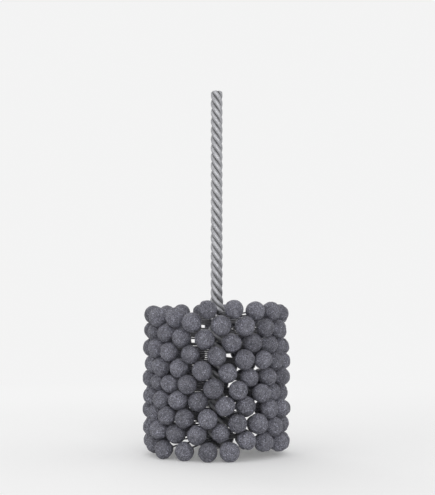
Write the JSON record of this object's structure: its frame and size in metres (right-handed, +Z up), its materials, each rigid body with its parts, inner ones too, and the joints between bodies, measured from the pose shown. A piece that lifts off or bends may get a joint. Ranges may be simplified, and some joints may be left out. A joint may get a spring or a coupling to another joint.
{
  "type": "flexible ball hone",
  "caption": "Flexible ball hone: a twisted wire shank and brush stem that holds nylon filaments, each with an abrasive globule at both ends.",
  "frame": {"origin": "on the stem's axis, at the height of the lowest globules, on which the tool stands", "axes": "+Z up along the stem, from the brush to the shank's cut end; the side seen in the picture faces -Y"},
  "size_m": [0.0816, 0.0816, 0.2032],
  "materials": {
    "zinc_plated_wire": "satin",
    "nylon_filament": "satin",
    "abrasive_globule": "matte"
  },
  "bodies": {
    "stem": {"stem_wire_1": "zinc_plated_wire", "stem_wire_2": "zinc_plated_wire", "stem_wire_3": "zinc_plated_wire", "stem_wire_4": "zinc_plated_wire", "filaments_01": "nylon_filament", "filaments_02": "nylon_filament", "filaments_03": "nylon_filament", "filaments_04": "nylon_filament", "filaments_05": "nylon_filament", "filaments_06": "nylon_filament", "filaments_07": "nylon_filament", "filaments_08": "nylon_filament", "filaments_09": "nylon_filament", "filaments_10": "nylon_filament", "filaments_11": "nylon_filament", "filaments_12": "nylon_filament", "filaments_13": "nylon_filament", "filaments_14": "nylon_filament", "filaments_15": "nylon_filament", "filaments_16": "nylon_filament", "filaments_17": "nylon_filament"},
    "column_01_a": {"globules_01_a": "abrasive_globule"},
    "column_01_b": {"globules_01_b": "abrasive_globule"},
    "column_02_a": {"globules_02_a": "abrasive_globule"},
    "column_02_b": {"globules_02_b": "abrasive_globule"},
    "column_03_a": {"globules_03_a": "abrasive_globule"},
    "column_03_b": {"globules_03_b": "abrasive_globule"},
    "column_04_a": {"globules_04_a": "abrasive_globule"},
    "column_04_b": {"globules_04_b": "abrasive_globule"},
    "column_05_a": {"globules_05_a": "abrasive_globule"},
    "column_05_b": {"globules_05_b": "abrasive_globule"},
    "column_06_a": {"globules_06_a": "abrasive_globule"},
    "column_06_b": {"globules_06_b": "abrasive_globule"},
    "column_07_a": {"globules_07_a": "abrasive_globule"},
    "column_07_b": {"globules_07_b": "abrasive_globule"},
    "column_08_a": {"globules_08_a": "abrasive_globule"},
    "column_08_b": {"globules_08_b": "abrasive_globule"},
    "column_09_a": {"globules_09_a": "abrasive_globule"},
    "column_09_b": {"globules_09_b": "abrasive_globule"},
    "column_10_a": {"globules_10_a": "abrasive_globule"},
    "column_10_b": {"globules_10_b": "abrasive_globule"},
    "column_11_a": {"globules_11_a": "abrasive_globule"},
    "column_11_b": {"globules_11_b": "abrasive_globule"},
    "column_12_a": {"globules_12_a": "abrasive_globule"},
    "column_12_b": {"globules_12_b": "abrasive_globule"},
    "column_13_a": {"globules_13_a": "abrasive_globule"},
    "column_13_b": {"globules_13_b": "abrasive_globule"},
    "column_14_a": {"globules_14_a": "abrasive_globule"},
    "column_14_b": {"globules_14_b": "abrasive_globule"},
    "column_15_a": {"globules_15_a": "abrasive_globule"},
    "column_15_b": {"globules_15_b": "abrasive_globule"},
    "column_16_a": {"globules_16_a": "abrasive_globule"},
    "column_16_b": {"globules_16_b": "abrasive_globule"},
    "column_17_a": {"globules_17_a": "abrasive_globule"},
    "column_17_b": {"globules_17_b": "abrasive_globule"}
  },
  "joints": [
    {"name": "column_01_a_trail", "type": "hinge", "parent": "stem", "child": "column_01_a", "pos_m": [0.00286, -0.00782, 0], "axis": [0, 0, 1], "range_deg": [-25, 25], "stiffness_Nm_per_rad": 0.0364, "deforming": ["filaments_01"]},
    {"name": "column_01_b_trail", "type": "hinge", "parent": "stem", "child": "column_01_b", "pos_m": [-0.00285, 0.00783, 0], "axis": [0, 0, 1], "range_deg": [-25, 25], "stiffness_Nm_per_rad": 0.0364, "deforming": ["filaments_01"]},
    {"name": "column_02_a_trail", "type": "hinge", "parent": "stem", "child": "column_02_a", "pos_m": [-0.00024, -0.00832, 0], "axis": [0, 0, 1], "range_deg": [-25, 25], "stiffness_Nm_per_rad": 0.0364, "deforming": ["filaments_02"]},
    {"name": "column_02_b_trail", "type": "hinge", "parent": "stem", "child": "column_02_b", "pos_m": [0.00028, 0.00832, 0], "axis": [0, 0, 1], "range_deg": [-25, 25], "stiffness_Nm_per_rad": 0.0364, "deforming": ["filaments_02"]},
    {"name": "column_03_a_trail", "type": "hinge", "parent": "stem", "child": "column_03_a", "pos_m": [-0.00339, -0.00761, 0], "axis": [0, 0, 1], "range_deg": [-25, 25], "stiffness_Nm_per_rad": 0.0364, "deforming": ["filaments_03"]},
    {"name": "column_03_b_trail", "type": "hinge", "parent": "stem", "child": "column_03_b", "pos_m": [0.00343, 0.00759, 0], "axis": [0, 0, 1], "range_deg": [-25, 25], "stiffness_Nm_per_rad": 0.0364, "deforming": ["filaments_03"]},
    {"name": "column_04_a_trail", "type": "hinge", "parent": "stem", "child": "column_04_a", "pos_m": [-0.00583, -0.00595, 0], "axis": [0, 0, 1], "range_deg": [-25, 25], "stiffness_Nm_per_rad": 0.0364, "deforming": ["filaments_04"]},
    {"name": "column_04_b_trail", "type": "hinge", "parent": "stem", "child": "column_04_b", "pos_m": [0.00582, 0.00596, 0], "axis": [0, 0, 1], "range_deg": [-25, 25], "stiffness_Nm_per_rad": 0.0364, "deforming": ["filaments_04"]},
    {"name": "column_05_a_trail", "type": "hinge", "parent": "stem", "child": "column_05_a", "pos_m": [-0.00757, -0.00348, 0], "axis": [0, 0, 1], "range_deg": [-25, 25], "stiffness_Nm_per_rad": 0.0364, "deforming": ["filaments_05"]},
    {"name": "column_05_b_trail", "type": "hinge", "parent": "stem", "child": "column_05_b", "pos_m": [0.00755, 0.0035, 0], "axis": [0, 0, 1], "range_deg": [-25, 25], "stiffness_Nm_per_rad": 0.0364, "deforming": ["filaments_05"]},
    {"name": "column_06_a_trail", "type": "hinge", "parent": "stem", "child": "column_06_a", "pos_m": [-0.00831, -0.00057, 0], "axis": [0, 0, 1], "range_deg": [-25, 25], "stiffness_Nm_per_rad": 0.0364, "deforming": ["filaments_06"]},
    {"name": "column_06_b_trail", "type": "hinge", "parent": "stem", "child": "column_06_b", "pos_m": [0.00831, 0.00053, 0], "axis": [0, 0, 1], "range_deg": [-25, 25], "stiffness_Nm_per_rad": 0.0364, "deforming": ["filaments_06"]},
    {"name": "column_07_a_trail", "type": "hinge", "parent": "stem", "child": "column_07_a", "pos_m": [-0.00798, 0.00237, 0], "axis": [0, 0, 1], "range_deg": [-25, 25], "stiffness_Nm_per_rad": 0.0364, "deforming": ["filaments_07"]},
    {"name": "column_07_b_trail", "type": "hinge", "parent": "stem", "child": "column_07_b", "pos_m": [0.00796, -0.00244, 0], "axis": [0, 0, 1], "range_deg": [-25, 25], "stiffness_Nm_per_rad": 0.0364, "deforming": ["filaments_07"]},
    {"name": "column_08_a_trail", "type": "hinge", "parent": "stem", "child": "column_08_a", "pos_m": [-0.00664, 0.00503, 0], "axis": [0, 0, 1], "range_deg": [-25, 25], "stiffness_Nm_per_rad": 0.0364, "deforming": ["filaments_08"]},
    {"name": "column_08_b_trail", "type": "hinge", "parent": "stem", "child": "column_08_b", "pos_m": [0.00661, -0.00506, 0], "axis": [0, 0, 1], "range_deg": [-25, 25], "stiffness_Nm_per_rad": 0.0364, "deforming": ["filaments_08"]},
    {"name": "column_09_a_trail", "type": "hinge", "parent": "stem", "child": "column_09_a", "pos_m": [-0.00443, 0.00705, 0], "axis": [0, 0, 1], "range_deg": [-25, 25], "stiffness_Nm_per_rad": 0.0364, "deforming": ["filaments_09"]},
    {"name": "column_09_b_trail", "type": "hinge", "parent": "stem", "child": "column_09_b", "pos_m": [0.00445, -0.00704, 0], "axis": [0, 0, 1], "range_deg": [-25, 25], "stiffness_Nm_per_rad": 0.0364, "deforming": ["filaments_09"]},
    {"name": "column_10_a_trail", "type": "hinge", "parent": "stem", "child": "column_10_a", "pos_m": [-0.00151, 0.00819, 0], "axis": [0, 0, 1], "range_deg": [-25, 25], "stiffness_Nm_per_rad": 0.0364, "deforming": ["filaments_10"]},
    {"name": "column_10_b_trail", "type": "hinge", "parent": "stem", "child": "column_10_b", "pos_m": [0.00156, -0.00818, 0], "axis": [0, 0, 1], "range_deg": [-25, 25], "stiffness_Nm_per_rad": 0.0364, "deforming": ["filaments_10"]},
    {"name": "column_11_a_trail", "type": "hinge", "parent": "stem", "child": "column_11_a", "pos_m": [0.00174, 0.00814, 0], "axis": [0, 0, 1], "range_deg": [-25, 25], "stiffness_Nm_per_rad": 0.0364, "deforming": ["filaments_11"]},
    {"name": "column_11_b_trail", "type": "hinge", "parent": "stem", "child": "column_11_b", "pos_m": [-0.0017, -0.00815, 0], "axis": [0, 0, 1], "range_deg": [-25, 25], "stiffness_Nm_per_rad": 0.0364, "deforming": ["filaments_11"]},
    {"name": "column_12_a_trail", "type": "hinge", "parent": "stem", "child": "column_12_a", "pos_m": [0.0047, 0.00687, 0], "axis": [0, 0, 1], "range_deg": [-25, 25], "stiffness_Nm_per_rad": 0.0291, "deforming": ["filaments_12"]},
    {"name": "column_12_b_trail", "type": "hinge", "parent": "stem", "child": "column_12_b", "pos_m": [-0.00471, -0.00686, 0], "axis": [0, 0, 1], "range_deg": [-25, 25], "stiffness_Nm_per_rad": 0.0291, "deforming": ["filaments_12"]},
    {"name": "column_13_a_trail", "type": "hinge", "parent": "stem", "child": "column_13_a", "pos_m": [0.00679, 0.00482, 0], "axis": [0, 0, 1], "range_deg": [-25, 25], "stiffness_Nm_per_rad": 0.0291, "deforming": ["filaments_13"]},
    {"name": "column_13_b_trail", "type": "hinge", "parent": "stem", "child": "column_13_b", "pos_m": [-0.00676, -0.00486, 0], "axis": [0, 0, 1], "range_deg": [-25, 25], "stiffness_Nm_per_rad": 0.0291, "deforming": ["filaments_13"]},
    {"name": "column_14_a_trail", "type": "hinge", "parent": "stem", "child": "column_14_a", "pos_m": [0.00807, 0.00204, 0], "axis": [0, 0, 1], "range_deg": [-25, 25], "stiffness_Nm_per_rad": 0.0291, "deforming": ["filaments_14"]},
    {"name": "column_14_b_trail", "type": "hinge", "parent": "stem", "child": "column_14_b", "pos_m": [-0.00807, -0.00205, 0], "axis": [0, 0, 1], "range_deg": [-25, 25], "stiffness_Nm_per_rad": 0.0291, "deforming": ["filaments_14"]},
    {"name": "column_15_a_trail", "type": "hinge", "parent": "stem", "child": "column_15_a", "pos_m": [0.00827, -0.001, 0], "axis": [0, 0, 1], "range_deg": [-25, 25], "stiffness_Nm_per_rad": 0.0291, "deforming": ["filaments_15"]},
    {"name": "column_15_b_trail", "type": "hinge", "parent": "stem", "child": "column_15_b", "pos_m": [-0.00827, 0.00094, 0], "axis": [0, 0, 1], "range_deg": [-25, 25], "stiffness_Nm_per_rad": 0.0291, "deforming": ["filaments_15"]},
    {"name": "column_16_a_trail", "type": "hinge", "parent": "stem", "child": "column_16_a", "pos_m": [0.00741, -0.0038, 0], "axis": [0, 0, 1], "range_deg": [-25, 25], "stiffness_Nm_per_rad": 0.0291, "deforming": ["filaments_16"]},
    {"name": "column_16_b_trail", "type": "hinge", "parent": "stem", "child": "column_16_b", "pos_m": [-0.00746, 0.0037, 0], "axis": [0, 0, 1], "range_deg": [-25, 25], "stiffness_Nm_per_rad": 0.0291, "deforming": ["filaments_16"]},
    {"name": "column_17_a_trail", "type": "hinge", "parent": "stem", "child": "column_17_a", "pos_m": [0.00567, -0.0061, 0], "axis": [0, 0, 1], "range_deg": [-25, 25], "stiffness_Nm_per_rad": 0.0291, "deforming": ["filaments_17"]},
    {"name": "column_17_b_trail", "type": "hinge", "parent": "stem", "child": "column_17_b", "pos_m": [-0.00565, 0.00612, 0], "axis": [0, 0, 1], "range_deg": [-25, 25], "stiffness_Nm_per_rad": 0.0291, "deforming": ["filaments_17"]}
  ],
  "couplings": [
    {"joint": "column_01_b_trail", "follows": "column_01_a_trail", "ratio": 1},
    {"joint": "column_02_a_trail", "follows": "column_01_a_trail", "ratio": 1},
    {"joint": "column_02_b_trail", "follows": "column_01_a_trail", "ratio": 1},
    {"joint": "column_03_a_trail", "follows": "column_01_a_trail", "ratio": 1},
    {"joint": "column_03_b_trail", "follows": "column_01_a_trail", "ratio": 1},
    {"joint": "column_04_a_trail", "follows": "column_01_a_trail", "ratio": 1},
    {"joint": "column_04_b_trail", "follows": "column_01_a_trail", "ratio": 1},
    {"joint": "column_05_a_trail", "follows": "column_01_a_trail", "ratio": 1},
    {"joint": "column_05_b_trail", "follows": "column_01_a_trail", "ratio": 1},
    {"joint": "column_06_a_trail", "follows": "column_01_a_trail", "ratio": 1},
    {"joint": "column_06_b_trail", "follows": "column_01_a_trail", "ratio": 1},
    {"joint": "column_07_a_trail", "follows": "column_01_a_trail", "ratio": 1},
    {"joint": "column_07_b_trail", "follows": "column_01_a_trail", "ratio": 1},
    {"joint": "column_08_a_trail", "follows": "column_01_a_trail", "ratio": 1},
    {"joint": "column_08_b_trail", "follows": "column_01_a_trail", "ratio": 1},
    {"joint": "column_09_a_trail", "follows": "column_01_a_trail", "ratio": 1},
    {"joint": "column_09_b_trail", "follows": "column_01_a_trail", "ratio": 1},
    {"joint": "column_10_a_trail", "follows": "column_01_a_trail", "ratio": 1},
    {"joint": "column_10_b_trail", "follows": "column_01_a_trail", "ratio": 1},
    {"joint": "column_11_a_trail", "follows": "column_01_a_trail", "ratio": 1},
    {"joint": "column_11_b_trail", "follows": "column_01_a_trail", "ratio": 1},
    {"joint": "column_12_a_trail", "follows": "column_01_a_trail", "ratio": 1},
    {"joint": "column_12_b_trail", "follows": "column_01_a_trail", "ratio": 1},
    {"joint": "column_13_a_trail", "follows": "column_01_a_trail", "ratio": 1},
    {"joint": "column_13_b_trail", "follows": "column_01_a_trail", "ratio": 1},
    {"joint": "column_14_a_trail", "follows": "column_01_a_trail", "ratio": 1},
    {"joint": "column_14_b_trail", "follows": "column_01_a_trail", "ratio": 1},
    {"joint": "column_15_a_trail", "follows": "column_01_a_trail", "ratio": 1},
    {"joint": "column_15_b_trail", "follows": "column_01_a_trail", "ratio": 1},
    {"joint": "column_16_a_trail", "follows": "column_01_a_trail", "ratio": 1},
    {"joint": "column_16_b_trail", "follows": "column_01_a_trail", "ratio": 1},
    {"joint": "column_17_a_trail", "follows": "column_01_a_trail", "ratio": 1},
    {"joint": "column_17_b_trail", "follows": "column_01_a_trail", "ratio": 1}
  ]
}
